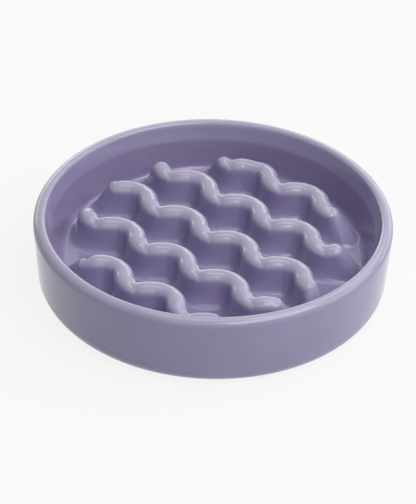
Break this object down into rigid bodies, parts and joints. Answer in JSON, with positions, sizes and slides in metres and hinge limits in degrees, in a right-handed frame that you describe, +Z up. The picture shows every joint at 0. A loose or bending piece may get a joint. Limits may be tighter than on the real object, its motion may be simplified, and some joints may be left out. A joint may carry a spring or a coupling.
{
  "type": "slow feeder bowl",
  "caption": "Round glazed bowl with low walls, a thick rounded rim and wavy ridges across its floor that slow down a dog's eating, on a non-slip ring.",
  "frame": {"origin": "centre of the base, on the plane that the bowl stands on", "axes": "+Z up through the open top; +X along the wave ridges; the picture was taken from the -Y side, turned 38.8 degrees towards +X"},
  "size_m": [0.2, 0.2, 0.0445],
  "materials": {
    "glaze": "gloss",
    "silicone": "matte"
  },
  "bodies": {
    "root": {"bowl": "glaze", "non_slip_ring": "silicone"}
  },
  "joints": []
}
